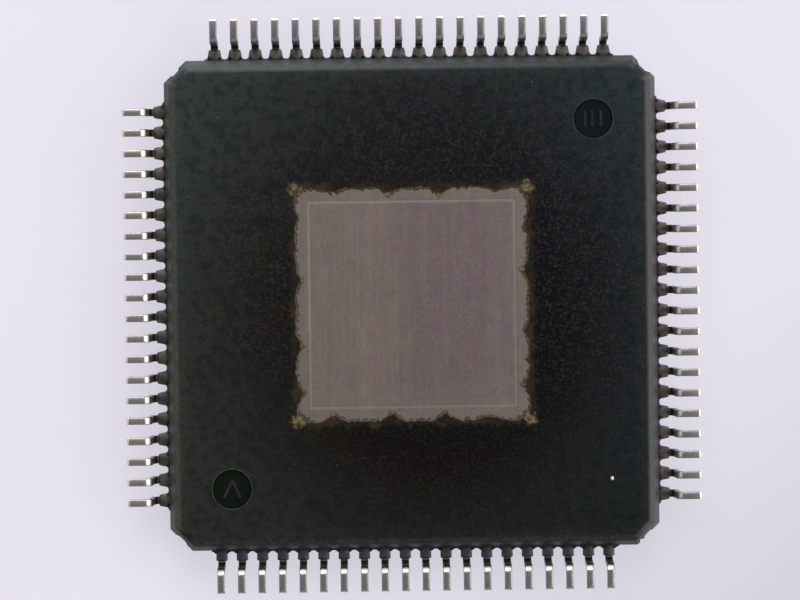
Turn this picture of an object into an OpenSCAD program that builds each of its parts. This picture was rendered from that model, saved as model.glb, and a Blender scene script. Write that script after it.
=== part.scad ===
// Quad flat pack chip: 80 gull-wing leads round a moulded body, with an exposed die pad.
// It lies on its marking face with the pad and the lead feet up, as it would on a bench.
// Sizes are in millimetres. The origin is the middle of the marking face, and +Z points out
// of the exposed-pad face. Lead 1 is the top lead of the +X side, and the numbers run
// clockwise seen from +Z: down the +X side, along -Y, up -X and back along +Y.

/* [Package body] */
// Side of the square body across its parting line
body_size = 12; // [11.4:0.1:15]
// Thickness from the marking face to the exposed-pad face
body_thickness = 1.4; // [1.1:0.05:2]
// Draft of the moulded side walls, in degrees
draft_angle = 15; // [6:1:18]
// Radius where the side walls meet the two faces
edge_radius = 0.2; // [0.06:0.01:0.24]
// Leg of the chamfer across each corner
corner_chamfer = 0.54; // [0.4:0.02:0.8]

/* [Flash] */
// Width of the flash fin on each side of a lead
web_width = 0.06; // [0.02:0.01:0.08]
// Reach of the flash midway between two leads
web_floor = 0.03; // [0.01:0.01:0.04]
// Thickness of the flash film that covers the rim of the die pad
film_thickness = 0.02; // [0.01:0.005:0.05]
// How far the flash film reaches over the rim of the die pad
film_overlap = 0.25; // [0.12:0.01:0.3]
// Depth of the fine raggedness of the film's edge
film_roughness = 0.028; // [0:0.002:0.04]

/* [Moulding marks] */
// Diameter of the two ejector-pin recesses in the exposed-pad face
ejector_diameter = 0.96; // [0.6:0.02:1.4]
// Depth of the ejector-pin recesses
ejector_depth = 0.06; // [0.03:0.01:0.12]
// Distance of the ejector-pin centres from the two nearest body sides
ejector_inset = 1.55; // [1:0.05:1.8]
// Height of the cavity marks on the recess floors
cavity_mark_height = 0.02; // [0.01:0.005:0.03]
// Width of the strokes of the cavity marks
cavity_mark_stroke = 0.07; // [0.04:0.01:0.1]
// Diameter of the pin 1 index dimple in the marking face
index_diameter = 1.2; // [0.8:0.1:1.6]
// Depth of the pin 1 index dimple
index_depth = 0.08; // [0.04:0.01:0.12]
// Distance of the index dimple's centre from the two nearest body sides
index_inset = 1.6; // [1.2:0.1:2]

/* [Lead frame] */
// Thickness of the lead frame sheet, for leads, die pad and tie bars
frame_thickness = 0.127; // [0.1:0.001:0.18]
// Number of leads on each side
leads_per_side = 20; // [10:5:20]
// Distance between neighbouring leads
lead_pitch = 0.5; // [0.44:0.01:0.52]
// Width of a lead
lead_width = 0.18; // [0.14:0.01:0.22]
// Distance between the lead tips of opposite sides
lead_span = 14; // [13.6:0.1:15]
// Height of the soles of the feet above the exposed-pad face
standoff = 0.1; // [0.05:0.01:0.15]
// Inner radius of both bends of a lead
bend_radius = 0.08; // [0.05:0.01:0.12]
// Lean of the leg away from upright, in degrees
leg_lean = 5; // [0:1:12]
// Length of the flat foot, from the knee bend to the tip
foot_length = 0.42; // [0.3:0.02:0.5]
// Radius of the rolled lower edge at the tip of a foot
toe_radius = 0.06; // [0.02:0.01:0.06]
// Width of the dambar stub, where the bar between the leads was cut away
stub_width = 0.28; // [0.2:0.01:0.32]
// Distance of the dambar stub from the body
stub_offset = 0.08; // [0.06:0.01:0.1]
// Length of the dambar stub along the lead
stub_length = 0.19; // [0.14:0.01:0.2]
// Length over which the dambar stub narrows to the lead at each end
stub_taper = 0.04; // [0.02:0.01:0.06]

/* [Inner leads] */
// Straight length of a lead inside the body, before it fans in towards the die
anchor_length = 0.7; // [0.4:0.1:0.9]
// Gap between the edge of the die pad and the tips of the inner leads, in plan
finger_gap = 0.65; // [0.4:0.05:0.8]
// Distance between neighbouring inner lead tips
finger_pitch = 0.33; // [0.28:0.01:0.34]
// Width of an inner lead at its tip
finger_width = 0.16; // [0.1:0.01:0.2]

/* [Die pad] */
// Side of the square die pad
pad_size = 6.2; // [5.4:0.1:6.6]
// Side of the square ring line in the exposed face, along its middle
ring_size = 5; // [3:0.1:5.2]
// Width of the ring line
ring_width = 0.08; // [0.04:0.01:0.12]
// Depth of the ring line
ring_depth = 0.01; // [0.005:0.005:0.03]
// Width of the tie bars at the pad's corners
tie_bar_width = 0.2; // [0.12:0.01:0.24]
// Slope of the step in the tie bars, in degrees
tie_bar_slope = 45; // [30:5:60]
// Flat length of a tie bar beyond the pad's corner, before its step
tie_bar_landing = 0.3; // [0.1:0.1:0.4]

/* [Die and bond wires] */
// Side of the square die
die_size = 4; // [3.4:0.1:4.8]
// Thickness of the die
die_thickness = 0.28; // [0.15:0.01:0.34]
// Thickness of the die attach layer
attach_thickness = 0.03; // [0.01:0.005:0.05]
// How far the die attach squeezes out past the die's edges
attach_fillet = 0.08; // [0.02:0.01:0.15]
// Diameter of a bond wire
wire_diameter = 0.025; // [0.018:0.001:0.032]
// Angle at which a wire's arc leaves the straight line between its two bonds, in degrees
wire_rise = 35; // [25:1:40]
// Diameter of the ball where a wire is bonded to the die
ball_diameter = 0.07; // [0.05:0.01:0.09]
// Distance of the ball bonds from the die's edge
bond_inset = 0.1; // [0.06:0.01:0.15]
// Distance of the wire's end from the inner lead's tip
stitch_inset = 0.15; // [0.1:0.01:0.2]

/* [Hidden] */
leads_per_node = 5;
sides = 4;
node_count = leads_per_side * sides / leads_per_node;

// Heights of the faces, from the marking face up
frame_low_z = (body_thickness - frame_thickness) / 2;
frame_high_z = frame_low_z + frame_thickness;
sole_z = body_thickness + standoff;
pad_face_z = body_thickness - film_thickness;
pad_back_z = pad_face_z - frame_thickness;
die_back_z = pad_back_z - attach_thickness;
die_face_z = die_back_z - die_thickness;

// Distances from the middle of the chip
body_half = body_size / 2;
tip_x = lead_span / 2;
anchor_x = body_half - anchor_length;
pad_half = pad_size / 2;
finger_x = pad_half + finger_gap;
window_half = pad_half - film_overlap;
chamfer_x = (2 * body_half - corner_chamfer) / sqrt(2);

// One strip of the lead: where its parts begin, from the body outwards
stub_x = body_half + stub_offset;
outer_radius = bend_radius + frame_thickness;
heel_x = tip_x - foot_length;
leg_length = (sole_z - frame_high_z - (bend_radius + outer_radius) * (1 - sin(leg_lean))) / cos(leg_lean);
shoulder_x = heel_x - (bend_radius + outer_radius) * cos(leg_lean) - leg_length * sin(leg_lean);
// Straight steps that make up the arc of a bend
bend_steps = 6;

// Reach that is sure to pass right through a piece when cutting or crossing profiles
through = body_size;

// Cut corners: turn, width and depth of the notch where the tie bar was cut off
corner_notches = [[45, 0.44, 0.07], [135, 0.26, 0.05], [225, 0.4, 0.05], [315, 0.26, 0.05]];
// A small break beside the notch of the fourth corner: distance from its middle, width and depth
corner_break = [-0.24, 0.1, 0.09];

// Spikes of flash that run in over the pad: turn of the side, place along it, depth
film_spikes = [
    [0, 1.95, 0.1], [0, 0.83, 0.16], [0, -0.7, 0.12], [0, -2, 0.18],
    [90, -2.06, 0.13], [90, -0.68, 0.2], [90, 0.58, 0.17], [90, 2, 0.11],
    [180, -2.1, 0.09], [180, -0.63, 0.15], [180, 1, 0.16], [180, 2.15, 0.17],
    [270, -1.95, 0.18], [270, -0.53, 0.19], [270, 0.77, 0.19], [270, 1.85, 0.1]
];
// How far the flanks of a spike spread along the edge, so that the edge is scalloped
spike_spread = 0.42;
// Cut of the film across each corner of the window
window_chamfer = 0.14;
// Distance between the points along the ragged edge, and the seed of their scatter
film_step = 0.07;
film_seed = 8;

// Cavity marks as shares of the recess's diameter: bars, and an arrow of two leaning arms
tally_length = 0.42;
tally_places = [-0.2, -0.02, 0.2];
arrow_length = 0.5;
arrow_rise = 0.24;
arrow_lean = 24;

function two_digits(n) = n < 10 ? str("0", n) : str(n);
function node_name(kind, g) =
    str(kind, "_", two_digits(g * leads_per_node + 1), "_", two_digits((g + 1) * leads_per_node));

// Place of lead k, counted from 0, along its side, and the same place in a row of another pitch
function row_place(k, pitch) = ((leads_per_side - 1) / 2 - k % leads_per_side) * pitch;
function side_turn(k) = -90 * floor(k / leads_per_side);

// ---------------------------------------------------------------- package body

// Section of the moulding for walls that stand at half_width: two drafted halves that meet
// at a land as thick as the lead frame, with rounded edges at both faces
module moulding_section(half_width) {
    corner_z = body_thickness - edge_radius;
    corner_x = half_width - (edge_radius + (corner_z - frame_high_z) * sin(draft_angle)) / cos(draft_angle);
    round_x = corner_x + edge_radius * cos(draft_angle);
    round_z = corner_z + edge_radius * sin(draft_angle);
    polygon([
        [half_width, frame_low_z], [half_width, frame_high_z],
        [round_x, round_z], [corner_x, body_thickness],
        [-corner_x, body_thickness], [-round_x, round_z],
        [-half_width, frame_high_z], [-half_width, frame_low_z],
        [-round_x, body_thickness - round_z], [-corner_x, 0],
        [corner_x, 0], [round_x, body_thickness - round_z]
    ]);
    for (x = [-corner_x, corner_x], z = [edge_radius, corner_z])
        translate([x, z]) circle(edge_radius, $fn = 48);
}

// The section drawn out along the walls at one turn round the chip
module moulding_pass(turn, half_width) {
    rotate([90, 0, turn])
        linear_extrude(2 * through, center = true)
            moulding_section(half_width);
}

module moulding_blank() {
    intersection() {
        moulding_pass(0, body_half);
        moulding_pass(90, body_half);
        moulding_pass(45, chamfer_x);
        moulding_pass(135, chamfer_x);
    }
}

// Notches where the tie bars were cut off, and the one small break
module corner_cuts() {
    for (c = corner_notches)
        rotate(c[0]) notch(0, c[1], tie_bar_width, c[2]);
    rotate(corner_notches[3][0])
        notch(corner_break[0], corner_break[1], 0, corner_break[2]);
}

// A notch in a chamfered corner that narrows from its mouth to its floor
module notch(offset, mouth, floor_width, depth) {
    translate([chamfer_x, offset, -through / 2])
        linear_extrude(through)
            polygon([
                [-depth, -floor_width / 2], [0, -mouth / 2], [through, -mouth / 2],
                [through, mouth / 2], [0, mouth / 2], [-depth, floor_width / 2]
            ]);
}

// Flash left at the parting line: a fin on each side of every lead, as far out as the dambar
// stub, with a round-ended gap between the fins of neighbouring leads
module flash_webs() {
    gap = lead_pitch - lead_width - 2 * web_width;
    row = leads_per_side * lead_pitch;
    for (turn = [0:90:270])
        rotate(turn)
            translate([body_half, 0, frame_low_z])
                linear_extrude(frame_thickness)
                    difference() {
                        translate([-web_floor, -row / 2]) square([web_floor + stub_offset, row]);
                        for (k = [0:leads_per_side])
                            translate([web_floor + gap / 2, (k - leads_per_side / 2) * lead_pitch]) {
                                circle(d = gap, $fn = 32);
                                translate([0, -gap / 2]) square([stub_offset, gap]);
                            }
                    }
}

// Depth of the flash that the film's edge runs in at place s of the side at turn
function spike_depth(turn, s) =
    max([for (p = film_spikes)
        p[0] == turn ? p[2] * pow(max(0, 1 - abs(s - p[1]) / spike_spread), 2) : 0]);

// The ragged edge of the film along the side at turn, from one corner cut to the next
function film_edge(turn) =
    let (
        end = window_half - window_chamfer,
        steps = round(2 * end / film_step),
        scatter = rands(-film_roughness, film_roughness, steps + 1, film_seed + turn)
    )
    [for (i = [0:steps])
        let (
            s = -end + 2 * end * i / steps,
            x = window_half + scatter[i] - spike_depth(turn, s)
        )
        [x * cos(turn) - s * sin(turn), x * sin(turn) + s * cos(turn)]];

// The window in the film that leaves the die pad exposed
module film_window() {
    translate([0, 0, pad_face_z])
        linear_extrude(2 * film_thickness)
            polygon([for (turn = [0:90:270]) each film_edge(turn)]);
}

// Ejector-pin recess with a raised cavity mark on its floor
module ejector_recess(place) {
    translate([place, place, body_thickness - ejector_depth])
        difference() {
            cylinder(h = 2 * ejector_depth, d = ejector_diameter, $fn = 96);
            children();
        }
}

module tally_mark() {
    bar = tally_length * ejector_diameter;
    for (place = tally_places)
        translate([place * ejector_diameter - cavity_mark_stroke / 2, -bar / 2, 0])
            cube([cavity_mark_stroke, bar, cavity_mark_height]);
}

module arrow_mark() {
    arm = arrow_length * ejector_diameter;
    for (lean = [-arrow_lean, arrow_lean])
        translate([0, arrow_rise * ejector_diameter, 0])
            rotate(lean)
                translate([-cavity_mark_stroke / 2, -arm, 0])
                    cube([cavity_mark_stroke, arm, cavity_mark_height]);
}

module index_dimple() {
    place = body_half - index_inset;
    translate([place, place, -index_depth])
        cylinder(h = 2 * index_depth, d = index_diameter, $fn = 96);
}

module package_body() {
    color([0.15, 0.15, 0.14])
        difference() {
            union() {
                moulding_blank();
                flash_webs();
            }
            corner_cuts();
            film_window();
            ejector_recess(body_half - ejector_inset) tally_mark();
            ejector_recess(ejector_inset - body_half) arrow_mark();
            index_dimple();
            pad_sheet();
            attach_block();
            die_block();
            for (k = [0:sides * leads_per_side - 1]) {
                inner_lead(k);
                bond_wire(k);
            }
        }
}

// ---------------------------------------------------------------- leads

// Inside the body: a straight anchor behind the wall, then a finger that fans in to the die
module inner_lead(k) {
    root = row_place(k, lead_pitch);
    tip = row_place(k, finger_pitch);
    rotate(side_turn(k))
        translate([0, 0, frame_low_z])
            linear_extrude(frame_thickness)
                polygon([
                    [finger_x, tip - finger_width / 2], [anchor_x, root - lead_width / 2],
                    [stub_x, root - lead_width / 2], [stub_x, root + lead_width / 2],
                    [anchor_x, root + lead_width / 2], [finger_x, tip + finger_width / 2]
                ]);
}

// Outline of the outer lead before it is bent, with the dambar stub's cut shoulders
module lead_outline() {
    side = [
        [anchor_x, lead_width / 2],
        [stub_x, lead_width / 2],
        [stub_x + stub_taper, stub_width / 2],
        [stub_x + stub_length - stub_taper, stub_width / 2],
        [stub_x + stub_length, lead_width / 2],
        [tip_x, lead_width / 2]
    ];
    polygon(concat(side, [for (i = [len(side) - 1:-1:0]) [side[i][0], -side[i][1]]]));
}

// Points along an arc, from one angle to another
function arc(centre, radius, from, to) =
    [for (i = [0:bend_steps])
        let (a = from + (to - from) * i / bend_steps)
        centre + radius * [cos(a), sin(a)]];

// Side view of the gull wing: shoulder, bend, leaning leg, knee bend and flat foot with its toe
module gull_wing_section() {
    shoulder = [shoulder_x, frame_high_z + bend_radius];
    knee = [heel_x, sole_z - outer_radius];
    toe = [tip_x - toe_radius, sole_z - toe_radius];
    polygon(concat(
        [[anchor_x, frame_high_z]],
        arc(shoulder, bend_radius, -90, -leg_lean),
        arc(knee, outer_radius, 180 - leg_lean, 90),
        arc(toe, toe_radius, 90, 0),
        [[tip_x, sole_z - frame_thickness]],
        arc(knee, bend_radius, 90, 180 - leg_lean),
        arc(shoulder, outer_radius, -leg_lean, -90),
        [[anchor_x, frame_low_z]]
    ));
}

module lead(k) {
    inner_lead(k);
    rotate(side_turn(k))
        translate([0, row_place(k, lead_pitch), 0])
            intersection() {
                linear_extrude(2 * sole_z) lead_outline();
                rotate([90, 0, 0]) linear_extrude(2 * stub_width, center = true) gull_wing_section();
            }
}

module lead_group(g) {
    color([0.62, 0.6, 0.56])
        for (k = [g * leads_per_node:(g + 1) * leads_per_node - 1])
            lead(k);
}

// ---------------------------------------------------------------- die pad

// One tie bar, drawn along +X: landing beside the pad, sloped step, then straight to the corner
module tie_bar(end_x) {
    start_x = pad_half * sqrt(2);
    step_start = start_x + tie_bar_landing;
    drop = pad_back_z - frame_low_z;
    step_end = step_start + drop / tan(tie_bar_slope);
    skew = frame_thickness * tan(tie_bar_slope / 2);
    rotate([90, 0, 0])
        linear_extrude(tie_bar_width, center = true)
            polygon([
                [start_x - tie_bar_width, pad_back_z], [step_start, pad_back_z],
                [step_end, frame_low_z], [end_x, frame_low_z],
                [end_x, frame_high_z], [step_end + skew, frame_high_z],
                [step_start + skew, pad_face_z], [start_x - tie_bar_width, pad_face_z]
            ]);
}

module pad_sheet() {
    translate([-pad_half, -pad_half, pad_back_z])
        cube([pad_size, pad_size, frame_thickness]);
    for (c = corner_notches)
        rotate(c[0]) tie_bar(chamfer_x - c[2]);
}

module die_pad() {
    color([0.6, 0.56, 0.54])
        difference() {
            pad_sheet();
            translate([0, 0, pad_face_z - ring_depth])
                linear_extrude(2 * ring_depth)
                    difference() {
                        square(ring_size + ring_width, center = true);
                        square(ring_size - ring_width, center = true);
                    }
        }
}

// ---------------------------------------------------------------- die, die attach and bond wires

module slab(side, low_z, height) {
    translate([-side / 2, -side / 2, low_z]) cube([side, side, height]);
}

module attach_block() {
    slab(die_size + 2 * attach_fillet, die_back_z, attach_thickness);
}

module die_block() {
    slab(die_size, die_face_z, die_thickness);
}

module die_attach() {
    color([0.85, 0.85, 0.8]) attach_block();
}

module silicon_die() {
    color([0.35, 0.37, 0.4]) die_block();
}

// Bond wire of lead k: ball bond on the die, a round arc over to the inner lead, and the stitch
// bond on its face. The arc is drawn in the upright plane through both bonds, and its section is
// a square as wide as the wire.
module bond_wire(k) {
    corner_margin = 2 * bond_inset;
    bond_pitch = (die_size - 2 * corner_margin) / (leads_per_side - 1);
    ball = [die_size / 2 - bond_inset, row_place(k, bond_pitch), die_face_z];
    stitch = [finger_x + stitch_inset, row_place(k, finger_pitch), frame_low_z];
    start = ball - [0, 0, wire_diameter / 2];
    end = stitch - [0, 0, wire_diameter / 2];
    chord = norm(end - start);
    climb = asin((start[2] - end[2]) / chord);
    radius = chord / 2 / sin(wire_rise);
    centre = [0, -radius * cos(wire_rise)];
    rotate(side_turn(k)) {
        translate(ball - [0, 0, wire_diameter])
            cylinder(h = wire_diameter, d = ball_diameter, $fn = 12);
        translate(stitch - [0, 0, wire_diameter])
            cylinder(h = wire_diameter, d = 2 * wire_diameter, $fn = 12);
        translate((start + end) / 2)
            rotate(atan2(end[1] - start[1], end[0] - start[0]))
                rotate([-90, climb, 0])
                    linear_extrude(wire_diameter, center = true)
                        polygon(concat(
                            arc(centre, radius + wire_diameter / 2, 90 + wire_rise, 90 - wire_rise),
                            arc(centre, radius - wire_diameter / 2, 90 - wire_rise, 90 + wire_rise)
                        ));
    }
}

module wire_group(g) {
    color([0.9, 0.72, 0.3])
        for (k = [g * leads_per_node:(g + 1) * leads_per_node - 1])
            bond_wire(k);
}

// ---------------------------------------------------------------- nodes

package_body();
die_pad();
die_attach();
silicon_die();
for (g = [0:node_count - 1]) {
    lead_group(g);
    wire_group(g);
}
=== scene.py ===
"""Quad flat pack chip lying on its marking face, with the exposed pad and the lead feet up."""

import math
import random

import bmesh
import bpy
from mathutils import Euler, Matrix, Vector


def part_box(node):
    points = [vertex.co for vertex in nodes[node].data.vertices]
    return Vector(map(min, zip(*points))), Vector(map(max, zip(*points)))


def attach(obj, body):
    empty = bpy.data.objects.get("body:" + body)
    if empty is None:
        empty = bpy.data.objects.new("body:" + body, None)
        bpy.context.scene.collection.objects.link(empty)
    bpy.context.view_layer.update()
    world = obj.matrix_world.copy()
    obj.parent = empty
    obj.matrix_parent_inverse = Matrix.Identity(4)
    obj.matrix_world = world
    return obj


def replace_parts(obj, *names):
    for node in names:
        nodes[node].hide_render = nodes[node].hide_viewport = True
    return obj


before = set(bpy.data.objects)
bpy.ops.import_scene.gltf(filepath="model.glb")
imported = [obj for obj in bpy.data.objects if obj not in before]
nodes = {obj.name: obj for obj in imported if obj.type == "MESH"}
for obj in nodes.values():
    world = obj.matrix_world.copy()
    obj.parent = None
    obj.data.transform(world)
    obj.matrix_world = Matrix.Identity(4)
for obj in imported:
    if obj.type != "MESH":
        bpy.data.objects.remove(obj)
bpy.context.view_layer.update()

MM = 0.001  # one millimetre, in scene units

# The outer leads, in millimetres
FRAME_THICKNESS = 0.127
LEAD_PITCH = 0.5
LEADS_PER_SIDE = 20
LEADS_PER_NODE = 5
LEAD_WIDTH = 0.18
NECK_FLARE = 0.03  # how much wider the lead still is where its shoulder bend begins
STUB_WIDTH = 0.28
STUB_START, STUB_LENGTH, STUB_TAPER = 6.08, 0.19, 0.04
STUB_NARROWING = 0.025  # of the stub's width, part of the way down its taper
ROOT_WIDTHS = (0.36, 0.29, 0.36, 0.36)  # with the resin left at the root, one for each side
ROOT_NARROWING = 0.02  # of that resin, from the wall to the start of the stub
LEAD_ROOT = 5.9  # a little inside the moulded wall
BEND_RADIUS = 0.08
LEG_LEAN = math.radians(5)
FOOT_LENGTH = 0.42
TOE_RADIUS = 0.07
EDGE_ROUNDING = 0.016
BEND_STEPS, TOE_STEPS = 10, 5

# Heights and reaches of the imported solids, in millimetres
PAD_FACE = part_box("die_pad")[1].z / MM
BODY_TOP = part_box("package_body")[1].z / MM
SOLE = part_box("leads_01_05")[1].z / MM
LEAD_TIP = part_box("leads_01_05")[1].x / MM
FRAME_MIDDLE = BODY_TOP / 2
BODY_REACH = 6.0
CORNER_CUT = 0.54
CORNER_SLANT = (2 * BODY_REACH - CORNER_CUT) * math.sqrt(0.5)
PAD_HALF = 3.1
RING_REACH = 2.5
RECESS_PLACE, RECESS_RADIUS = 4.45, 0.48
RECESS_FLOOR = BODY_TOP - 0.06

# Resin and dirt on the exposed side, in millimetres
BLEED_CREEP = (0.035, 0.11)  # least and most that the bleed runs in over the pad
BLEED_AT_CORNER = 0.09  # how much further it runs in a corner of the window
BLEED_FOOT, BLEED_TOP = 0.002, 0.004  # its depths under the pad's face and the film's face
BLEED_THIN = 0.0008  # its thickness at its thin edge
CORNER_START, CORNER_LENGTH = 2.55, 0.4  # where a corner of the window begins, and its length
WINDOW_CORNER = 2.83
CORNER_STAIN, TIP_STAIN = (0.50, 0.48), (0.2, 0.2)
STAIN_HEIGHT = 0.0215
# Where golden resin shows at the tips of the film's spikes, as (x, y) on the pad
SPIKE_TIPS = (
    (2.68, 0.83), (2.68, -2.0), (0.68, 2.65), (-0.58, 2.67), (-2.68, -1.0),
    (-2.69, 0.63), (-2.67, -2.15), (-1.95, -2.66), (-0.53, -2.65), (0.77, -2.65),
)
BURR_WIDTH, BURR_DEPTH, BURR_STEPS = 0.009, 0.004, 96
# Specks of dust on the moulding: x, y, width, depth and height
DUST = (
    (4.81, -4.31, 0.11, 0.13, 0.03),
    (2.98, 5.36, 0.04, 0.05, 0.012),
    (0.98, 3.25, 0.04, 0.04, 0.01),
    (-4.67, 4.60, 0.05, 0.04, 0.012),
    (-5.42, 2.68, 0.04, 0.04, 0.012),
    (-1.9, -3.9, 0.03, 0.04, 0.01),
)
DUST_SINK = 0.002  # how deep a speck sits in the moulding's grain
# Seeds of the first piece of each kind
BLEED_SEED, STAIN_SEED, BURR_SEED, DUST_SEED = 5, 20, 40, 60
# Sections of a flake from its top to its foot: (share of the height, share of the radius)
DOME = ((0.75, 0.55), (0.0, 1.0))
PLATE = ((1.0, 0.6), (0.98, 0.95), (0.0, 1.0))

# Where the finishes and the painted light and shade change, in millimetres from the middle: the
# start and the end of each change. Left is -X, right +X, upper +Y and lower -Y.
SIDE_WALL = (5.3, 5.7)  # one side's tone comes in, mostly painted light and shade
EDGE_BAND = (5.35, 5.72)  # a little of the skin runs onto the face
WALL_BAND = (5.66, 5.78)  # the face turns into the wall
LAND_BAND = (5.78, 5.95)  # the skin turns bluish towards the parting land
CUT_BAND = (0.02, 0.14)  # how far the cut corner lies outside the square reach
FILM_REACH = (3.10, 2.92)  # the film over the pad's rim gets thin
STUBS, SHOULDERS, ROWS, TOES = (5.9, 6.0), (6.22, 6.30), (6.1, 6.3), (6.925, 6.955)
# Heights over which the film's brown comes in, and the same for a cavity mark, above its
# recess's floor and below the face
FILM_HEIGHT = (1.37, 1.379)
MARK_FOOT, MARK_TOP = (0.012, 0.018), (0.03, 0.036)
SOFT_EDGE = 0.015  # half the width over which a recess's tone comes in
PER_REACH = 0.1667  # turns a distance from the middle into a share of the body's reach

# The camera, the lights and the bench, in metres and degrees, with the lens in millimetres
CAMERA_PLACE = (-0.00100479, 0.00299416, 0.093887)
CAMERA_TURN = (-1.78252, -0.45992, -0.7748)
CAMERA_LENS = 171.2
LIGHT_DISTANCE, LIGHT_SIZE = 0.3, 0.2
# Name, azimuth from +X towards +Y, elevation, energy and colour
LIGHTS = (
    ("window_light", 95, 48, 0.40, (1.0, 0.985, 0.96)),
    ("side_light", 178, 42, 0.06, (0.97, 0.985, 1.0)),
    ("fill_light", 0, 44, 0.30, (1.0, 0.98, 0.96)),
)
BENCH_REACH = 3.0
BENCH_DROP = 2e-6  # how far the bench lies under the marking face


# ------------------------------------------------------------------ camera, bench and lights


def make_camera():
    """The camera that looks down on the exposed side."""
    data = bpy.data.cameras.new("bench_camera")
    data.type = "PERSP"
    data.lens = CAMERA_LENS
    data.sensor_width = 36.0
    data.clip_start = 0.005
    data.clip_end = 10.0
    data.dof.use_dof = False
    camera = bpy.data.objects.new("bench_camera", data)
    camera.location = CAMERA_PLACE
    camera.rotation_euler = Euler([math.radians(turn) for turn in CAMERA_TURN], "XYZ")
    bpy.context.scene.collection.objects.link(camera)
    bpy.context.scene.camera = camera


def make_light(name, azimuth, elevation, energy, colour):
    """A square soft light that looks at the chip."""
    data = bpy.data.lights.new(name, "AREA")
    data.shape = "SQUARE"
    data.size = LIGHT_SIZE
    data.energy = energy
    data.color = colour
    light = bpy.data.objects.new(name, data)
    a, e = math.radians(azimuth), math.radians(elevation)
    away = Vector((math.cos(a) * math.cos(e), math.sin(a) * math.cos(e), math.sin(e)))
    light.location = away * LIGHT_DISTANCE
    light.rotation_mode = "QUATERNION"
    light.rotation_quaternion = (-away).to_track_quat("-Z", "Y")
    bpy.context.scene.collection.objects.link(light)


def make_bench(material):
    """The flat bench that the chip lies on."""
    mesh = bpy.data.meshes.new("bench_top")
    corners = ((-1, -1), (1, -1), (1, 1), (-1, 1))
    points = [(x * BENCH_REACH, y * BENCH_REACH, -BENCH_DROP) for x, y in corners]
    mesh.from_pydata(points, [], [(0, 1, 2, 3)])
    mesh.materials.append(material)
    bench = bpy.data.objects.new("bench_top", mesh)
    bpy.context.scene.collection.objects.link(bench)


# ------------------------------------------------------------------ building node trees


class Tree:
    """Short calls that add nodes to one shader tree and link them up."""

    def __init__(self, tree):
        self.tree = tree

    def node(self, kind, **settings):
        made = self.tree.nodes.new(kind)
        for key, value in settings.items():
            setattr(made, key, value)
        return made

    def feed(self, socket, value):
        """Link a socket to an output, or set it to a value."""
        if isinstance(value, bpy.types.NodeSocket):
            self.tree.links.new(value, socket)
        elif isinstance(value, tuple) and len(value) == 3 and socket.type == "RGBA":
            socket.default_value = (*value, 1)
        else:
            socket.default_value = value

    def math(self, operation, a, b=None):
        made = self.node("ShaderNodeMath", operation=operation)
        self.feed(made.inputs[0], a)
        if b is not None:
            self.feed(made.inputs[1], b)
        return made.outputs[0]

    def times(self, product, *others):
        for value in others:
            product = self.math("MULTIPLY", product, value)
        return product

    def plus(self, a, b):
        return self.math("ADD", a, b)

    def minus(self, a, b):
        return self.math("SUBTRACT", a, b)

    def fade(self, value, start, end, low=0.0, high=1.0):
        """Smooth step of a value, low at the start and high at the end."""
        made = self.node("ShaderNodeMapRange", interpolation_type="SMOOTHSTEP")
        for socket, v in zip(made.inputs[:5], (value, start, end, low, high)):
            self.feed(socket, v)
        return made.outputs[0]

    def mix(self, share, a, b, blend="MIX"):
        """Colour a with a share of colour b: inputs 6 and 7 and output 2 are the colour ones."""
        made = self.node("ShaderNodeMix", data_type="RGBA", blend_type=blend, clamp_result=True)
        self.feed(made.inputs[0], share)
        self.feed(made.inputs[6], a)
        self.feed(made.inputs[7], b)
        return made.outputs[2]

    def tinted(self, share, colour, tint):
        """A colour pushed a little towards the changing tint of a grain."""
        return self.mix(share, colour, tint, "LINEAR_LIGHT")

    def scaled(self, base, value, amount):
        """A base colour or vector with an amount added in proportion to a value."""
        made = self.node("ShaderNodeVectorMath", operation="MULTIPLY_ADD")
        for socket, v in zip(made.inputs, (value, amount, base)):
            self.feed(socket, v)
        return made.outputs[0]

    def length(self, vector):
        made = self.node("ShaderNodeVectorMath", operation="LENGTH")
        self.feed(made.inputs[0], vector)
        return made.outputs["Value"]

    def split(self, vector):
        made = self.node("ShaderNodeSeparateXYZ")
        self.feed(made.inputs[0], vector)
        return made.outputs

    def noise(self, vector, scale, detail, roughness=0.5, distortion=0.0):
        made = self.node("ShaderNodeTexNoise")
        for key, value in (
            ("Vector", vector),
            ("Scale", scale),
            ("Detail", detail),
            ("Roughness", roughness),
            ("Distortion", distortion),
        ):
            self.feed(made.inputs[key], value)
        return made.outputs

    def stretched(self, vector, scale):
        made = self.node("ShaderNodeMapping")
        self.feed(made.inputs["Vector"], vector)
        made.inputs["Scale"].default_value = scale
        return made.outputs["Vector"]

    def bump(self, height, distance):
        """The normal of a relief whose full height is a distance in millimetres."""
        made = self.node("ShaderNodeBump")
        made.inputs["Strength"].default_value = 1.0
        made.inputs["Distance"].default_value = distance * MM
        self.feed(made.inputs["Height"], height)
        return made.outputs["Normal"]

    def attribute(self, name):
        return self.node("ShaderNodeAttribute", attribute_name=name).outputs["Fac"]

    def group(self, tree, **values):
        made = self.node("ShaderNodeGroup")
        made.node_tree = tree
        for key, value in values.items():
            self.feed(made.inputs[key], value)
        return made.outputs


def new_group(name, inputs, outputs):
    """A shader node group: its tree, the values given to it and the results it puts out."""
    tree = bpy.data.node_groups.new(name, "ShaderNodeTree")
    for key, kind, value in inputs:
        socket = tree.interface.new_socket(key, in_out="INPUT", socket_type=kind)
        if value is not None:
            socket.default_value = value
    for key, kind in outputs:
        tree.interface.new_socket(key, in_out="OUTPUT", socket_type=kind)
    t = Tree(tree)
    return t, t.node("NodeGroupInput").outputs, t.node("NodeGroupOutput").inputs


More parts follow.
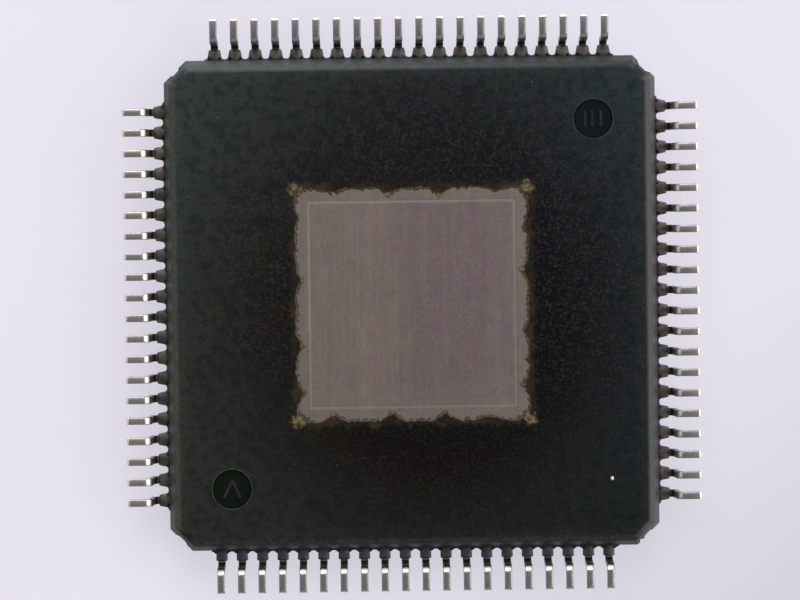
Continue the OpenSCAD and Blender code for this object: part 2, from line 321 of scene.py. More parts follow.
def make_place_group():
    """Where a point lies on the chip, in millimetres: its place, its reach from the middle
    along the nearer side, and the same reach with the cut corners counted as sides."""
    t, _, result = new_group(
        "chip_place",
        [],
        [
            ("Position", "NodeSocketVector"),
            ("Across", "NodeSocketFloat"),
            ("Along", "NodeSocketFloat"),
            ("Height", "NodeSocketFloat"),
            ("Reach", "NodeSocketFloat"),
            ("Rim", "NodeSocketFloat"),
        ],
    )
    place = t.node("ShaderNodeVectorMath", operation="SCALE")
    t.feed(place.inputs[0], t.node("ShaderNodeTexCoord").outputs["Object"])
    place.inputs["Scale"].default_value = 1 / MM
    x, y, z = t.split(place.outputs[0])
    wide, deep = t.math("ABSOLUTE", x), t.math("ABSOLUTE", y)
    reach = t.math("MAXIMUM", wide, deep)
    slant = t.times(t.plus(wide, deep), math.sqrt(0.5))
    rim = t.math("MAXIMUM", reach, t.minus(slant, CORNER_SLANT - BODY_REACH))
    for key, value in zip(result, (place.outputs[0], x, y, z, reach, rim)):
        t.feed(key, value)
    return t.tree


def make_grain_group():
    """Fine two-scale grain: a value for colour, a height for bump and a changing tint."""
    t, given, result = new_group(
        "fine_grain",
        [
            ("Position", "NodeSocketVector", None),
            ("Scale", "NodeSocketFloat", 10.0),
            ("Pits", "NodeSocketFloat", 0.3),
        ],
        [
            ("Grain", "NodeSocketFloat"),
            ("Height", "NodeSocketFloat"),
            ("Tint", "NodeSocketColor"),
        ],
    )
    fine = t.noise(given["Position"], given["Scale"], 3)
    cells = t.node("ShaderNodeTexVoronoi", feature="F1")
    t.feed(cells.inputs["Vector"], given["Position"])
    t.feed(cells.inputs["Scale"], t.times(given["Scale"], 0.6))
    pits = t.times(t.fade(cells.outputs["Distance"], 0.35, 0.05), given["Pits"])
    grain = t.fade(fine["Fac"], 0.3, 0.7)
    t.feed(result["Grain"], grain)
    t.feed(result["Height"], t.minus(grain, pits))
    t.feed(result["Tint"], fine["Color"])
    return t.tree


def make_mottle_group():
    """Soft uneven patches and scattered specks, for tarnish, smears and uneven resin."""
    t, given, result = new_group(
        "soft_mottle",
        [("Position", "NodeSocketVector", None), ("Scale", "NodeSocketFloat", 1.0)],
        [("Patches", "NodeSocketFloat"), ("Specks", "NodeSocketFloat")],
    )
    wide = t.noise(given["Position"], given["Scale"], 4, distortion=0.4)
    t.feed(result["Patches"], t.fade(wide["Fac"], 0.32, 0.68))
    close = t.noise(given["Position"], t.times(given["Scale"], 9), 2)
    t.feed(result["Specks"], t.fade(close["Fac"], 0.62, 0.74))
    return t.tree


def new_material(name):
    """A material with a Principled shader: the material, its tree and the shader's inputs."""
    material = bpy.data.materials.new(name)
    material.use_nodes = True
    material.node_tree.nodes.clear()
    t = Tree(material.node_tree)
    shader = t.node("ShaderNodeBsdfPrincipled")
    out = t.node("ShaderNodeOutputMaterial")
    t.feed(out.inputs["Surface"], shader.outputs[0])
    return material, t, shader.inputs


def make_room():
    """A pale room round the bench: bright towards +X and +Y, dim behind and straight overhead."""
    world = bpy.data.worlds.new("bench_room")
    world.use_nodes = True
    world.node_tree.nodes.clear()
    t = Tree(world.node_tree)
    x, y, z = t.split(t.node("ShaderNodeTexCoord").outputs["Generated"])
    room = t.mix(t.fade(t.plus(x, y), -0.7, 0.4), (0.34, 0.33, 0.35), (0.92, 0.91, 0.95))
    room = t.mix(t.fade(z, 0.66, 0.93), room, (0.15, 0.15, 0.165))
    seen = t.node("ShaderNodeLightPath").outputs["Is Camera Ray"]
    room = t.mix(seen, room, (0.83, 0.81, 0.90))
    background = t.node("ShaderNodeBackground")
    t.feed(background.inputs["Color"], room)
    background.inputs["Strength"].default_value = 1.0
    out = t.node("ShaderNodeOutputWorld")
    t.feed(out.inputs["Surface"], background.outputs[0])
    bpy.context.scene.world = world


# ------------------------------------------------------------------ masks on the chip


def plan_distance(t, place, x, y, stretch=1.0):
    """Distance of a point in plan from (x, y), with its own x stretched first."""
    return t.length(t.scaled((-x, -y, 0.0), place["Position"], (stretch, 1.0, 0.0)))


def beside(t, distance, side, share=1.0, band=SIDE_WALL):
    """The share of one side's tone, mostly painted light and shade: 0 before the band and full
    after it, towards +1 or -1.
    """
    return t.fade(distance, side * band[0], side * band[1], 0.0, share)


def recess_mask(t, place):
    """1 inside the two ejector recesses."""
    inside = []
    for side in (1, -1):
        away = plan_distance(t, place, side * RECESS_PLACE, side * RECESS_PLACE)
        inside.append(t.fade(away, RECESS_RADIUS + SOFT_EDGE, RECESS_RADIUS - SOFT_EDGE))
    exposed_side = t.fade(place["Height"], 1.0, 1.1)
    return t.times(t.math("MAXIMUM", *inside), exposed_side)


def raised_mark_mask(t, place, recess):
    """1 on the cavity marks, which stand between a recess's floor and its rim."""
    above_floor = t.fade(place["Height"], *(RECESS_FLOOR + rise for rise in MARK_FOOT))
    below_face = t.fade(place["Height"], *(BODY_TOP - drop for drop in MARK_TOP))
    return t.times(above_floor, recess, below_face)


def shaded_corner_mask(t, place):
    """1 on the cut corners that get painted shade, which are all but the one at +X and -Y."""
    cut = t.fade(t.minus(place["Rim"], place["Reach"]), *CUT_BAND)
    return t.times(cut, t.fade(t.minus(place["Across"], place["Along"]), 9.0, 6.0))


# ------------------------------------------------------------------ materials


def moulded_face(t, place, low, grain, blotch, mottle):
    """Tone of the moulding's faces: paler and bluer at the corners and browner round the pad, with
    painted light and shade that make it lighter towards the left and the upper side and darker
    towards the right and the lower side, and with the filler showing as specks and hollows."""
    away = plan_distance(t, place, 0.0, 0.9, 1.12)
    tone = t.scaled((0.0026, 0.0002, 0.0001), t.fade(away, 2.9, 8.0), (0.0136, 0.0233, 0.0225))
    # painted light and shade: lighter towards the left and the upper side, darker towards the right
    # and the lower side
    tone = t.scaled(tone, t.times(place["Across"], -PER_REACH), (0.0052, 0.0055, 0.0028))
    tone = t.scaled(tone, t.times(place["Along"], PER_REACH), (0.0064, 0.0105, 0.0117))
    strength = t.fade(low, 0.0, 1.0, 1.0, 0.45)
    tone = t.tinted(t.times(strength, 0.007), tone, grain["Tint"])
    tone = t.tinted(t.times(strength, 0.007), tone, blotch["Tint"])
    speckle = t.times(t.fade(grain["Grain"], 0.45, 1.0), strength, 0.5)
    tone = t.mix(speckle, tone, (0.031, 0.031, 0.030))
    hollow = t.times(t.fade(blotch["Grain"], 0.6, 0.1), 0.36)
    tone = t.mix(hollow, tone, (0.0030, 0.0030, 0.0024))
    return t.mix(t.times(mottle["Specks"], 0.15), tone, (0.035, 0.034, 0.028))


def wall_skin(t, place, low, grain, blotch):
    """Tone of the resin-rich skin on the rounded edge and the drafted walls, olive inside and
    bluish at the parting land, with painted light and shade for the way each wall faces: lighter
    on the upper wall towards the left, darker on the lower wall and towards the lower side."""
    skin = t.mix(t.fade(place["Rim"], *LAND_BAND), (0.060, 0.063, 0.049), (0.080, 0.082, 0.088))
    # painted shade: the skin is darker towards the lower side
    skin = t.mix(t.times(low, 0.65), skin, (0.038, 0.035, 0.030))
    # painted light and shade: each side's wall gets its own tone for the way it faces the lights,
    # lightest on the upper one towards the left and darkest on the lower one
    skin = t.mix(beside(t, place["Across"], -1), skin, (0.061, 0.067, 0.053))
    upper = t.mix(t.fade(place["Across"], -5.5, 5.5), (0.089, 0.102, 0.097), (0.046, 0.050, 0.053))
    skin = t.mix(beside(t, place["Along"], 1), skin, upper)
    skin = t.mix(beside(t, place["Along"], -1, 0.6), skin, (0.024, 0.025, 0.024))
    skin = t.tinted(0.05, skin, grain["Tint"])
    return t.tinted(0.02, skin, blotch["Tint"])


def moulding_compound():
    """Black filled epoxy: matt and grainy on the faces, a glossier skin on the drafted walls, with
    painted light and shade on both.
    """
    material, t, shader = new_material("moulding_compound")
    place = t.group(chip_place)
    at = place["Position"]
    grain = t.group(fine_grain, Position=at, Scale=13.0, Pits=0.5)
    blotch = t.group(fine_grain, Position=at, Scale=4.5, Pits=0.0)
    rust_mottle = t.group(soft_mottle, Position=at, Scale=1.3)
    mottle = t.group(soft_mottle, Position=at, Scale=5.0)
    # painted shade: darker towards the lower side, on the faces and the walls
    low = t.fade(place["Along"], 1.5, -4.5)
    colour = moulded_face(t, place, low, grain, blotch, mottle)
    skin = wall_skin(t, place, low, grain, blotch)
    colour = t.mix(t.times(t.fade(place["Rim"], *EDGE_BAND), 0.12), colour, skin)
    # painted light: the right-hand wall is lighter
    skin = t.mix(beside(t, place["Across"], 1), skin, (0.092, 0.092, 0.094))
    # painted shade: the cut corners' walls take a darker copy of the face's tone instead of the
    # skin
    shaded_face = t.scaled((0.0, 0.0, 0.0), colour, (0.8, 0.8, 0.8))
    skin = t.mix(t.times(shaded_corner_mask(t, place), 0.9), skin, shaded_face)
    wall = t.fade(place["Rim"], *WALL_BAND)
    colour = t.mix(wall, colour, skin)
    # thin flash over the pad's rim lets the copper colour through
    uneven = t.plus(place["Reach"], t.times(mottle["Patches"], 0.14))
    film = t.times(t.fade(uneven, *FILM_REACH), t.fade(place["Height"], *FILM_HEIGHT))
    rust = t.mix(rust_mottle["Patches"], (0.012, 0.008, 0.004), (0.036, 0.022, 0.011))
    colour = t.mix(film, colour, t.tinted(0.02, rust, grain["Tint"]))
    # pin recesses have smooth dark floors, with the cavity marks a shade lighter
    recess = recess_mask(t, place)
    rightward = t.fade(place["Across"], -1.0, 1.0)
    floor_tone = t.mix(rightward, (0.0012, 0.0042, 0.0010), (0.0012, 0.0046, 0.0068))
    colour = t.mix(recess, colour, floor_tone)
    mark = t.tinted(0.03, (0.019, 0.021, 0.025), blotch["Tint"])
    colour = t.mix(t.times(raised_mark_mask(t, place, recess), 0.8), colour, mark)
    t.feed(shader["Base Color"], colour)
    rough = t.fade(grain["Grain"], 0.0, 1.0, 0.62, 0.78)
    rough = t.minus(rough, t.times(wall, 0.20))
    t.feed(shader["Roughness"], t.minus(rough, t.times(recess, 0.15)))
    shader["IOR"].default_value = 1.2
    relief = t.times(grain["Height"], t.fade(recess, 0.0, 1.0, 1.0, 0.3))
    t.feed(shader["Normal"], t.bump(relief, 0.006))
    return material


def pad_metal():
    """Plated copper of the die pad: satin, drawn one way, with smears and a ring line lit by a
    painted highlight.
    """
    material, t, shader = new_material("pad_metal")
    place = t.group(chip_place)
    at = place["Position"]
    mottle = t.group(soft_mottle, Position=at, Scale=0.8)
    grain = t.group(fine_grain, Position=at, Scale=14.0, Pits=0.0)
    blotch = t.group(fine_grain, Position=at, Scale=3.0, Pits=0.0)
    drawn = t.noise(t.stretched(at, (14.0, 0.35, 1.0)), 1.0, 3.0, 0.6)["Fac"]
    scratches = t.noise(t.stretched(at, (60.0, 3.0, 1.0)), 1.0, 2.0)["Fac"]
    # warm on the left, cooler from the middle to the right
    colour = t.mix(t.fade(drawn, 0.3, 0.7), (0.306, 0.242, 0.220), (0.317, 0.252, 0.228))
    colour = t.mix(t.fade(place["Across"], -1.2, 0.3), colour, (0.258, 0.199, 0.194))
    colour = t.mix(t.fade(place["Across"], 1.3, 2.3), colour, (0.274, 0.214, 0.210))
    # sallow tarnish on the left and outside the ring
    tarnish = t.fade(t.plus(place["Across"], t.times(mottle["Patches"], 1.6)), 1.2, -2.2)
    tarnish = t.math("MAXIMUM", tarnish, t.fade(place["Reach"], 2.35, 2.6))
    colour = t.mix(t.times(tarnish, 0.75), colour, (0.288, 0.250, 0.200))
    colour = t.mix(t.times(mottle["Patches"], 0.3), colour, (0.282, 0.234, 0.222))
    smear = plan_distance(t, place, -1.05, -1.0)
    colour = t.mix(t.fade(smear, 0.95, 0.1, 0.0, 0.28), colour, (0.40, 0.30, 0.27))
    colour = t.mix(t.fade(place["Along"], -1.6, -2.4, 0.0, 0.35), colour, (0.320, 0.262, 0.236))
    colour = t.tinted(0.06, colour, grain["Tint"])
    colour = t.tinted(0.035, colour, blotch["Tint"])
    bright = t.times(t.fade(grain["Grain"], 0.2, 1.0), 0.12)
    colour = t.mix(bright, colour, (0.42, 0.35, 0.33))
    dull = t.times(t.fade(blotch["Grain"], 0.6, 0.1), 0.08)
    colour = t.mix(dull, colour, (0.20, 0.16, 0.15))
    # painted highlight: the ring line along the groove's step is painted lighter, clearest towards
    # the upper left
    off_ring = t.math("ABSOLUTE", t.minus(place["Reach"], RING_REACH))
    ring = t.times(t.fade(off_ring, 0.05, 0.015), t.fade(place["Height"], 1.3, 1.35))
    clear = t.fade(t.minus(place["Along"], place["Across"]), -3.0, 3.0, 0.12, 0.19)
    ring = t.times(ring, clear)
    colour = t.mix(ring, colour, (0.47, 0.36, 0.28))
    t.feed(shader["Base Color"], colour)
    shader["Metallic"].default_value = 1.0
    rough = t.fade(drawn, 0.3, 0.7, 0.42, 0.45)
    t.feed(shader["Roughness"], t.plus(rough, t.times(ring, 0.5)))
    t.feed(shader["Normal"], t.bump(t.plus(scratches, t.times(drawn, 0.5)), 0.0003))
    return material


def lead_metal():
    """Matt tin plating, duller and darker on the neck and leg, partly resin stain and partly
    painted shade, with painted highlights on three rows' toes and the lower row's stubs.
    """
    material, t, shader = new_material("lead_metal")
    place = t.group(chip_place)
    grain = t.group(fine_grain, Position=place["Position"], Scale=22.0, Pits=0.4)
    mottle = t.group(soft_mottle, Position=place["Position"], Scale=4.0)
    colour = t.mix(mottle["Patches"], (0.56, 0.53, 0.50), (0.64, 0.61, 0.59))
    colour = t.mix(t.times(grain["Grain"], 0.3), colour, (0.55, 0.52, 0.505))
    # painted shade: the upper row is greyer and darker; the left-hand row is paler and warmer
    colour = t.mix(beside(t, place["Along"], 1, 0.8, ROWS), colour, (0.45, 0.45, 0.45))
    colour = t.mix(beside(t, place["Across"], -1, 0.7, ROWS), colour, (0.78, 0.73, 0.65))
    # toes of three rows are cream, partly bare cut metal and partly a painted highlight;
    # the lower row, facing away from the lights, keeps plain toes
    toe = t.times(t.fade(place["Reach"], *TOES), t.fade(place["Along"], -6.85, -6.8))
    colour = t.mix(toe, colour, (0.95, 0.87, 0.74))
    # painted shade on the rounded long edges keeps them from catching highlights, where the cut
    # edges are also duller than the flats
    sheared_edge_shade = t.fade(t.attribute("sheared_edge_shade"), 0.1, 0.7, 0.0, 0.85)
    colour = t.mix(t.times(sheared_edge_shade, t.fade(toe, 0.5, 0.0)), colour, (0.12, 0.115, 0.11))
    # below the foot the lead is darker, partly resin stain and partly painted shade, with the most
    # painted shade in the shoulder bend
    low = t.fade(place["Height"], 1.3, 1.0)
    residue_and_shade = t.mix(mottle["Patches"], (0.058, 0.050, 0.044), (0.142, 0.128, 0.112))
    residue_and_shade = t.tinted(0.08, residue_and_shade, grain["Tint"])
    colour = t.mix(t.times(low, 0.92), colour, residue_and_shade)
    bend = t.times(t.fade(place["Reach"], *SHOULDERS), low, 0.7)
    colour = t.mix(bend, colour, (0.092, 0.070, 0.048))
    # painted highlight: a bluish sheen on the lower row's stubs
    lower_row = beside(t, place["Along"], -1, 0.6, STUBS)
    bluish = t.times(lower_row, t.fade(place["Reach"], 6.30, 6.24), low)
    colour = t.mix(bluish, colour, (0.085, 0.102, 0.118))
    t.feed(shader["Base Color"], colour)
    shader["Metallic"].default_value = 1.0
    rough = t.fade(grain["Grain"], 0.0, 1.0, 0.265, 0.28)
    rough = t.plus(rough, t.times(low, 0.2))
    t.feed(shader["Roughness"], t.plus(rough, t.times(toe, 0.2)))
    t.feed(shader["Normal"], t.bump(grain["Height"], 0.00006))
    return material


def resin_bleed():
    """Brown resin that crept in over the pad from the edge of the window."""
    material, t, shader = new_material("resin_bleed")
    place = t.group(chip_place)
    mottle = t.group(soft_mottle, Position=place["Position"], Scale=3.0)
    grain = t.group(fine_grain, Position=place["Position"], Scale=16.0, Pits=0.2)
    colour = t.mix(mottle["Patches"], (0.016, 0.010, 0.006), (0.060, 0.040, 0.022))
    colour = t.mix(t.times(grain["Grain"], 0.3), colour, (0.085, 0.060, 0.036))
    t.feed(shader["Base Color"], colour)
    ragged = t.plus(t.attribute("thinning"), t.times(t.minus(grain["Grain"], 0.5), 0.5))
    t.feed(shader["Alpha"], t.fade(ragged, 0.95, 0.45))
    t.feed(shader["Roughness"], t.fade(grain["Grain"], 0.0, 1.0, 0.4, 0.55))
    t.feed(shader["Normal"], t.bump(grain["Height"], 0.002))
    return material


def gold_stain():
    """Thin golden-brown film, blotched with black resin and broken up at its edge."""
    material, t, shader = new_material("gold_stain")
    place = t.group(chip_place)
    mottle = t.group(soft_mottle, Position=place["Position"], Scale=7.0)
    grain = t.group(fine_grain, Position=place["Position"], Scale=12.0, Pits=0.2)
    colour = t.mix(grain["Grain"], (0.078, 0.061, 0.021), (0.190, 0.148, 0.056))
    dark = t.times(t.fade(mottle["Patches"], 0.4, 0.8), 0.7)
    t.feed(shader["Base Color"], t.mix(dark, colour, (0.026, 0.017, 0.009)))
    ragged = t.plus(t.attribute("thinning"), t.times(t.minus(mottle["Patches"], 0.5), 0.5))
    t.feed(shader["Alpha"], t.fade(ragged, 1.05, 0.25, 0.0, 0.9))
    t.feed(shader["Roughness"], t.fade(grain["Grain"], 0.0, 1.0, 0.42, 0.55))
    t.feed(shader["Normal"], t.bump(grain["Height"], 0.002))
    return material


def simple_finish(name, dark, light, roughness, metallic=0.0, scale=8.0, relief=0.001):
    """A finish with a little grain, for the small and the hidden pieces."""
    material, t, shader = new_material(name)
    place = t.group(chip_place)
    grain = t.group(fine_grain, Position=place["Position"], Scale=scale, Pits=0.3)
    mottle = t.group(soft_mottle, Position=place["Position"], Scale=scale / 5)
    t.feed(shader["Base Color"], t.mix(mottle["Patches"], dark, light))
    shader["Metallic"].default_value = metallic
    rough = t.fade(grain["Grain"], 0.0, 1.0, roughness - 0.06, roughness + 0.06)
    t.feed(shader["Roughness"], rough)
    t.feed(shader["Normal"], t.bump(grain["Height"], relief))
    return material


def bench_paper():
    """Pale paper that also glows a little, so that shadows on it stay faint, with painted shade
    towards +X and -Y.
    """
    material, t, shader = new_material("bench_paper")
    coords = t.node("ShaderNodeTexCoord").outputs["Object"]
    uneven = t.fade(t.noise(coords, 60.0, 3.0)["Fac"], 0.3, 0.7)
    colour = t.mix(uneven, (0.80, 0.775, 0.875), (0.83, 0.81, 0.90))
    x, y, _ = t.split(coords)
    # painted shade: the paper darkens towards +X and -Y
    corner = t.fade(t.minus(x, y), 6 * MM, 20 * MM)
    colour = t.mix(t.times(corner, 0.85), colour, (0.60, 0.60, 0.675))
    t.feed(shader["Base Color"], colour)
    shader["Roughness"].default_value = 0.9
    shader["Specular IOR Level"].default_value = 0.1
    path = t.node("ShaderNodeLightPath").outputs
    seen = t.math("MAXIMUM", path["Is Camera Ray"], path["Is Glossy Ray"])
    seen = t.math("MAXIMUM", seen, path["Is Transmission Ray"])
    glow = t.node("ShaderNodeEmission")
    t.feed(glow.inputs["Color"], colour)
    paper, out = (t.tree.nodes[kind] for kind in ("Principled BSDF", "Material Output"))
    blend = t.node("ShaderNodeMixShader")
    t.feed(blend.inputs[0], t.times(seen, 0.68))
    t.feed(blend.inputs[1], paper.outputs[0])
    t.feed(blend.inputs[2], glow.outputs[0])
    t.feed(out.inputs["Surface"], blend.outputs[0])
    return material


# ------------------------------------------------------------------ meshes and pieces


def put(bm, x, y, z):
    """A new vertex at a place in millimetres."""
    return bm.verts.new((x * MM, y * MM, z * MM))


def close_tube(bm, rings):
    """Faces between the sections of a tube that runs back to its start."""
    for a, b in zip(rings, rings[1:] + rings[:1]):
        for i in range(len(a)):
            j = (i + 1) % len(a)
            bm.faces.new((a[i], b[i], b[j], a[j]))


def mesh_from(bm, name, smooth_corners=4):
    """The finished mesh, normals outwards, smooth on faces of at most so many corners."""
    bmesh.ops.recalc_face_normals(bm, faces=bm.faces)
    for face in bm.faces:
        face.smooth = len(face.verts) <= smooth_corners
    mesh = bpy.data.meshes.new(name)
    bm.to_mesh(mesh)
    bm.free()
    return mesh


def add_piece(name, mesh, material):
    """A piece of the chip, with its finish, fixed to the root body."""
    piece = bpy.data.objects.new(name, mesh)
    bpy.context.scene.collection.objects.link(piece)
    mesh.materials.clear()
    mesh.materials.append(material)
    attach(piece, "root")
    return piece


# ------------------------------------------------------------------ leads


def arc_points(centre, radius, start, end):
    """Points and angles along an arc of a bend, in the lead's side view."""
    found = []
    for i in range(BEND_STEPS + 1):
        a = math.radians(start + (end - start) * i / BEND_STEPS)
        found.append((centre[0] + radius * math.cos(a), centre[1] + radius * math.sin(a), a))
    return found


def lead_stations(root_width):
    """Stations along the lead's middle line: x, z, slope of the path, width and how much is
    rolled off on the sole's side."""
    middle = BEND_RADIUS + FRAME_THICKNESS / 2
    foot_z = SOLE - FRAME_THICKNESS / 2
    heel_x = LEAD_TIP - FOOT_LENGTH
    leg = (foot_z - FRAME_MIDDLE - 2 * middle * (1 - math.sin(LEG_LEAN))) / math.cos(LEG_LEAN)
    shoulder_x = heel_x - 2 * middle * math.cos(LEG_LEAN) - leg * math.sin(LEG_LEAN)
    lean = math.degrees(LEG_LEAN)
    stub_end = STUB_START + STUB_LENGTH
    stations = [
        (LEAD_ROOT, FRAME_MIDDLE, 0.0, root_width, 0.0),
        (STUB_START, FRAME_MIDDLE, 0.0, root_width - ROOT_NARROWING, 0.0),
        (stub_end - STUB_TAPER, FRAME_MIDDLE, 0.0, STUB_WIDTH, 0.0),
        (stub_end - STUB_TAPER / 3, FRAME_MIDDLE, 0.0, STUB_WIDTH - STUB_NARROWING, 0.0),
    ]
    shoulder = (shoulder_x, FRAME_MIDDLE + middle)
    for i, (x, z, a) in enumerate(arc_points(shoulder, middle, -90, -lean)):
        width = LEAD_WIDTH + (NECK_FLARE if i == 0 else 0.0)
        stations.append((x, z, a + math.pi / 2, width, 0.0))
    knee = (heel_x, foot_z - middle)
    for x, z, a in arc_points(knee, middle, 180 - lean, 90):
        stations.append((x, z, a - math.pi / 2, LEAD_WIDTH, 0.0))
    for i in range(TOE_STEPS + 1):
        a = math.radians(90 * i / TOE_STEPS)
        x = LEAD_TIP - TOE_RADIUS + TOE_RADIUS * math.sin(a)
        stations.append((x, foot_z, 0.0, LEAD_WIDTH, TOE_RADIUS * (1 - math.cos(a))))
    return stations


def lead_section(width, roll):
    """Rounded rectangle across the lead: (across, up, is the middle of a rounding) for each
    point, counter-clockwise."""
    half_w, half_t, r = width / 2, FRAME_THICKNESS / 2, EDGE_ROUNDING
    points = []
    for sx, sy, start in ((1, 1, 0), (-1, 1, 90), (-1, -1, 180), (1, -1, 270)):
        top = half_t - roll if sy > 0 else half_t
        for step in (0, 45, 90):
            a = math.radians(start + step)
            across = sx * (half_w - r) + r * math.cos(a)
            up = sy * (top - r) + r * math.sin(a)
            points.append((across, up, step == 45))
    return points


def lead_mesh(root_width):
    """One lead at +X, from its root in the wall to its toe."""
    bm = bmesh.new()
    # the middles of the edge roundings are marked for the painted shade on the lead's edges
    sheared_edge_shade = bm.verts.layers.float.new("sheared_edge_shade")
    rings = []
    for x, z, slope, width, roll in lead_stations(root_width):
        ring = []
        for across, up, on_edge in lead_section(width, roll):
            vert = put(bm, x - up * math.sin(slope), across, z + up * math.cos(slope))
            vert[sheared_edge_shade] = 1.0 if on_edge else 0.0
            ring.append(vert)
        rings.append(ring)
    for a, b in zip(rings, rings[1:]):
        for i in range(len(a)):
            j = (i + 1) % len(a)
            bm.faces.new((a[i], a[j], b[j], b[i]))
    bm.faces.new(list(reversed(rings[0])))
    bm.faces.new(rings[-1])
    return mesh_from(bm, "gull_wing_lead")


def make_row_tree():
    """Geometry nodes that set one lead out in a row along its side of the chip."""
    tree = bpy.data.node_groups.new("lead_row", "GeometryNodeTree")
    sockets = tree.interface
    for key, kind in (
        ("Lead", "NodeSocketGeometry"),
        ("Count", "NodeSocketInt"),
        ("First Place", "NodeSocketFloat"),
        ("Pitch", "NodeSocketFloat"),
        ("Side Turn", "NodeSocketFloat"),
        ("Finish", "NodeSocketMaterial"),
    ):
        sockets.new_socket(key, in_out="INPUT", socket_type=kind)
    sockets.new_socket("Row", in_out="OUTPUT", socket_type="NodeSocketGeometry")
    add, link = tree.nodes.new, tree.links.new
    given, result = add("NodeGroupInput").outputs, add("NodeGroupOutput").inputs
    start = add("ShaderNodeCombineXYZ")
    link(given["First Place"], start.inputs["Y"])
    back = add("ShaderNodeMath")
    back.operation = "MULTIPLY"
    back.inputs[1].default_value = -1.0
    link(given["Pitch"], back.inputs[0])
    step = add("ShaderNodeCombineXYZ")
    link(back.outputs[0], step.inputs["Y"])
    line = add("GeometryNodeMeshLine")
    link(given["Count"], line.inputs["Count"])
    link(start.outputs[0], line.inputs["Start Location"])
    link(step.outputs[0], line.inputs["Offset"])
    row = add("GeometryNodeInstanceOnPoints")
    link(line.outputs[0], row.inputs["Points"])
    link(given["Lead"], row.inputs["Instance"])
    spin = add("ShaderNodeCombineXYZ")
    link(given["Side Turn"], spin.inputs["Z"])
    turn = add("GeometryNodeTransform")
    link(row.outputs[0], turn.inputs["Geometry"])
    link(spin.outputs[0], turn.inputs["Rotation"])
    real = add("GeometryNodeRealizeInstances")
    link(turn.outputs[0], real.inputs[0])
    finish = add("GeometryNodeSetMaterial")
    link(real.outputs[0], finish.inputs["Geometry"])
    link(given["Finish"], finish.inputs["Material"])
    link(finish.outputs[0], result["Row"])
    return tree


def set_input(modifier, key, value):
    """Set a modifier's named input, by its socket's identifier."""
    for item in modifier.node_group.interface.items_tree:
        if item.item_type == "SOCKET" and item.in_out == "INPUT" and item.name == key:
            modifier[item.identifier] = value


def make_leads(material):
    """One piece of five leads for each node of leads, numbered round the chip from +X."""
    leads = [lead_mesh(width) for width in ROOT_WIDTHS]
    tree = make_row_tree()
    for node_name in sorted(n for n in nodes if n.startswith("leads_")):
        first = int(node_name.split("_")[1]) - 1
        side, k = divmod(first, LEADS_PER_SIDE)
        maker = bpy.data.objects.new("lead_row_maker", leads[side])
        bpy.context.scene.collection.objects.link(maker)
        modifier = maker.modifiers.new("row", "NODES")
        modifier.node_group = tree
        set_input(modifier, "Count", LEADS_PER_NODE)
        set_input(modifier, "First Place", ((LEADS_PER_SIDE - 1) / 2 - k) * LEAD_PITCH * MM)
        set_input(modifier, "Pitch", LEAD_PITCH * MM)
        set_input(modifier, "Side Turn", -side * math.pi / 2)
        set_input(modifier, "Finish", material)
        finished = maker.evaluated_get(bpy.context.evaluated_depsgraph_get())
        name = "gull_wing_" + node_name
        mesh = bpy.data.meshes.new_from_object(finished)
        mesh.name = name
        bpy.data.objects.remove(maker)
        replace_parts(add_piece(name, mesh, material), node_name)
    for lead in leads:
        bpy.data.meshes.remove(lead)


# ------------------------------------------------------------------ resin and dirt


def window_edge():
    """The ragged edge of the film's window, as points round the pad: the body's vertices that
    lie on the pad's face, apart from those at the pad's own rim."""
    found = {}
    for v in nodes["package_body"].data.vertices:
        x, y, z = v.co / MM
        if abs(z - PAD_FACE) < 0.002 and max(abs(x), abs(y)) < PAD_HALF - 0.005:
            found[(round(x, 3), round(y, 3))] = math.atan2(y, x)
    return [p for p, a in sorted(found.items(), key=lambda item: item[1])]


def make_bleed(material):
    """A thin resin fillet along the window's edge, wider at the corners. Each section has its
    foot just in the pad, its top just under the film's face and its thin edge on the pad."""
    rng = random.Random(BLEED_SEED)
    bm = bmesh.new()
    thinning = bm.verts.layers.float.new("thinning")
    rings = []
    for x, y in window_edge():
        reach = max(abs(x), abs(y))
        corner = max(0.0, min(abs(x), abs(y)) - CORNER_START) / CORNER_LENGTH
        creep = rng.uniform(*BLEED_CREEP) + BLEED_AT_CORNER * corner
        shrink = (reach - creep) / reach
        ring = [
            put(bm, x, y, PAD_FACE - BLEED_FOOT),
            put(bm, x, y, BODY_TOP - BLEED_TOP),
            put(bm, x * shrink, y * shrink, PAD_FACE + BLEED_THIN),
        ]
        for vert, thin in zip(ring, (0.0, 0.0, 1.0)):
            vert[thinning] = thin
        rings.append(ring)
    close_tube(bm, rings)
    mesh = mesh_from(bm, "resin_fringe", smooth_corners=0)
    add_piece("resin_fringe", mesh, material)


def flake_mesh(name, centre, size, height, seed, points=9, profile=DOME):
    """A small irregular lump lying on a face."""
    rng = random.Random(seed)
    bm = bmesh.new()
    thinning = bm.verts.layers.float.new("thinning")
    top = put(bm, centre[0], centre[1], centre[2] + height)
    rings = []
    for level, share in profile:
        ring = []
        for i in range(points):
            a = math.tau * i / points
            r = rng.uniform(0.72, 1.0) * share
            x = centre[0] + size[0] / 2 * r * math.cos(a)
            y = centre[1] + size[1] / 2 * r * math.sin(a)
            z = centre[2] + height * level * (rng.uniform(0.85, 1.0) if level < 0.9 else 1.0)
            vert = put(bm, x, y, z)
            vert[thinning] = share
            ring.append(vert)
        rings.append(ring)
    for i in range(points):
        j = (i + 1) % points
        bm.faces.new((top, rings[0][i], rings[0][j]))
        for inner, outer in zip(rings, rings[1:]):
            bm.faces.new((inner[i], outer[i], outer[j], inner[j]))
    bm.faces.new(list(reversed(rings[-1])))
    return mesh_from(bm, name)


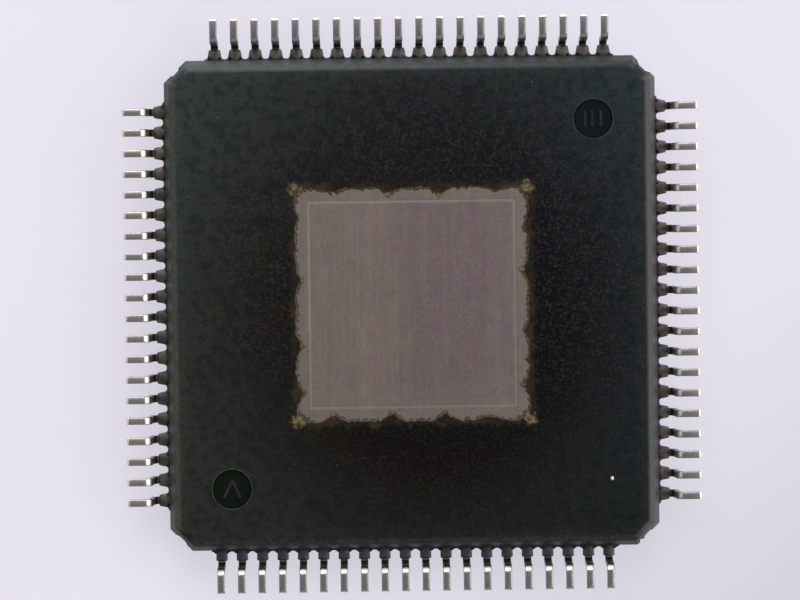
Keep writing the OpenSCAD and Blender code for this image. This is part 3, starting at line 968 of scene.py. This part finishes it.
def make_stains(material):
    """Golden-brown film left in the four corners of the window and at the tips of its spikes."""
    corners = ((1, 1), (1, -1), (-1, -1), (-1, 1))
    spots = [(sx * WINDOW_CORNER, sy * WINDOW_CORNER, CORNER_STAIN) for sx, sy in corners]
    spots += [(x, y, TIP_STAIN) for x, y in SPIKE_TIPS]
    for i, (x, y, size) in enumerate(spots):
        name = "gold_stain_%02d" % (i + 1)
        seed = STAIN_SEED + i
        mesh = flake_mesh(name, (x, y, PAD_FACE), size, STAIN_HEIGHT, seed, 16, PLATE)
        add_piece(name, mesh, material)


def make_burrs(material):
    """Burr left standing round each pin recess."""
    for i, side in enumerate((1, -1)):
        rng = random.Random(BURR_SEED + i)
        bm = bmesh.new()
        rings = []
        for step in range(BURR_STEPS):
            a = math.tau * step / BURR_STEPS
            wide = BURR_WIDTH * rng.uniform(0.5, 1.0)
            ring = []
            for across, up in ((-wide, 0.0), (0.0, wide * 0.9), (wide, 0.0), (0.0, -BURR_DEPTH)):
                r = RECESS_RADIUS + BURR_WIDTH + across
                x = side * RECESS_PLACE + r * math.cos(a)
                y = side * RECESS_PLACE + r * math.sin(a)
                ring.append(put(bm, x, y, BODY_TOP + up))
            rings.append(ring)
        close_tube(bm, rings)
        name = "recess_burr_%d" % (i + 1)
        add_piece(name, mesh_from(bm, name), material)


def make_dust(white, faint):
    """One white grain on the moulding and a few faint ones."""
    for i, (x, y, wide, deep, high) in enumerate(DUST):
        name = "dust_grain_%d" % (i + 1)
        place = (x, y, BODY_TOP - DUST_SINK)
        mesh = flake_mesh(name, place, (wide, deep), high, DUST_SEED + i)
        add_piece(name, mesh, faint if i else white)


# ------------------------------------------------------------------ putting it together

chip_place = make_place_group()
fine_grain = make_grain_group()
soft_mottle = make_mottle_group()

make_camera()
make_room()
for light in LIGHTS:
    make_light(*light)
make_bench(bench_paper())

finishes = {
    "package_body": moulding_compound(),
    "die_pad": pad_metal(),
    "die_attach": simple_finish(
        "die_adhesive", (0.62, 0.62, 0.58), (0.74, 0.74, 0.70), 0.45, metallic=0.3
    ),
    "silicon_die": simple_finish(
        "die_silicon", (0.085, 0.09, 0.105), (0.12, 0.125, 0.145), 0.22, scale=30.0, relief=0.0004
    ),
}
wire_gold = simple_finish(
    "wire_gold", (0.87, 0.60, 0.22), (0.95, 0.70, 0.30), 0.22, 1.0, 30.0, 0.0004
)
for name, node in nodes.items():
    finish = wire_gold if name.startswith("bond_wires") else finishes.get(name)
    if finish:
        node.data.materials.clear()
        node.data.materials.append(finish)

make_leads(lead_metal())
make_bleed(resin_bleed())
make_stains(gold_stain())
make_burrs(simple_finish("burr_resin", (0.05, 0.046, 0.038), (0.09, 0.082, 0.066), 0.5, scale=14.0))
make_dust(
    simple_finish("white_dust", (0.62, 0.61, 0.58), (0.85, 0.84, 0.82), 0.8, scale=20.0),
    simple_finish("grey_dust", (0.085, 0.085, 0.082), (0.13, 0.13, 0.125), 0.8, scale=20.0),
)

bpy.context.scene.view_settings.view_transform = "Standard"
